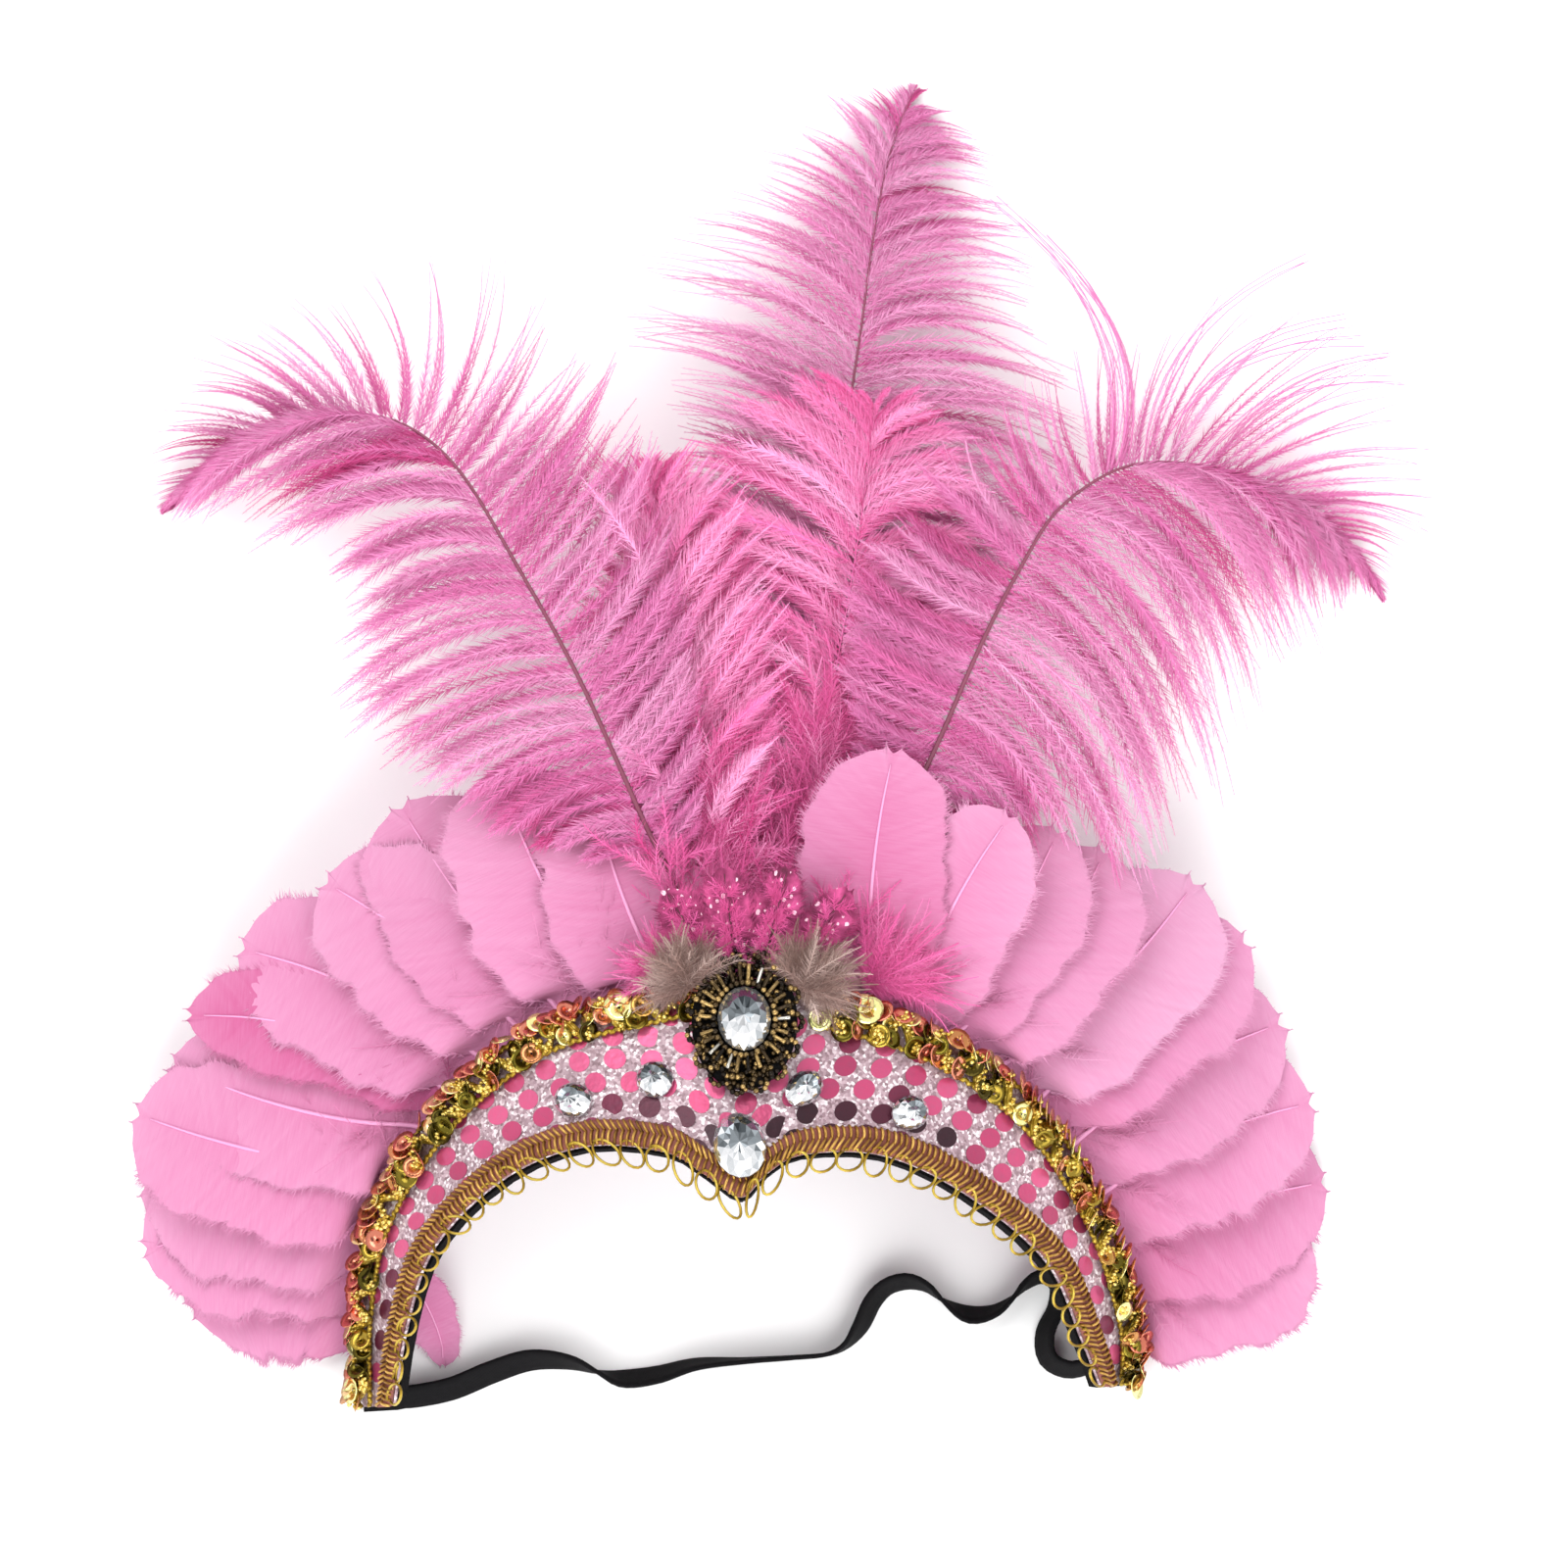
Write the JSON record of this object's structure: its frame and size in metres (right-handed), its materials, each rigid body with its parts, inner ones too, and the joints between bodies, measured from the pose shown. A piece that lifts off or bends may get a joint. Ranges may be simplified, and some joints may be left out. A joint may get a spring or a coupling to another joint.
{
  "type": "carnival feather headdress",
  "caption": "Bent head band with sequin trim, looped gimp braid, stones and a brooch, ostrich plumes and fans of flat feathers, and an elastic strap.",
  "frame": {"origin": "middle of the underside of the whole headdress without its strap, on the surface that it lies on", "axes": "+X the wearer's left, +Y the top of the headdress when worn, +Z the front; it lies on its back"},
  "size_m": [0.2886, 0.301, 0.0785],
  "materials": {
    "base": "matt black stiffened felt",
    "glitter_fabric": "pale glitter cloth with rows of foil dots",
    "sequins": "gold cup sequins and seed beads",
    "gimp": "metallic gold thread coiled on a rose-brown core",
    "rhinestone": "clear faceted acrylic with a foil back",
    "bronze": "dark bronze bugle and seed beads",
    "plume": "pink dyed ostrich plume",
    "flat_feather": "pink dyed goose feather",
    "guinea_feather": "dyed guinea fowl feather with pale spots",
    "marabou": "grey-brown marabou down",
    "down": "deep pink down",
    "elastic": "woven black elastic"
  },
  "bodies": {
    "root": {"band_base": "base", "band_cover": "glitter_fabric", "sequin_trim_left": "sequins", "sequin_trim_right": "sequins", "gimp_braid": "gimp", "stone_left_outer": "rhinestone", "stone_left_inner": "rhinestone", "stone_right_inner": "rhinestone", "stone_right_outer": "rhinestone", "peak_stone": "rhinestone", "centre_brooch": "bronze", "brooch_stone": "rhinestone", "plume_left": "plume", "plume_front_left": "plume", "plume_centre": "plume", "plume_front_right": "plume", "plume_right": "plume", "feather_left_1": "flat_feather", "feather_left_2": "flat_feather", "feather_left_3": "flat_feather", "feather_left_4": "flat_feather", "feather_left_5": "flat_feather", "feather_left_6": "flat_feather", "feather_left_7": "flat_feather", "feather_left_8": "flat_feather", "feather_left_9": "flat_feather", "feather_left_10": "flat_feather", "feather_left_11": "flat_feather", "feather_right_1": "flat_feather", "feather_right_2": "flat_feather", "feather_right_3": "flat_feather", "feather_right_4": "flat_feather", "feather_right_5": "flat_feather", "feather_right_6": "flat_feather", "feather_right_7": "flat_feather", "feather_right_8": "flat_feather", "feather_right_9": "flat_feather", "feather_right_10": "flat_feather", "feather_left_inner": "flat_feather", "guinea_feather_1": "guinea_feather", "guinea_feather_2": "guinea_feather", "guinea_feather_3": "guinea_feather", "guinea_feather_4": "guinea_feather", "marabou_left": "marabou", "marabou_right": "marabou", "down_tuft_left": "down", "down_tuft_right": "down", "elastic_strap": "elastic"}
  },
  "joints": []
}
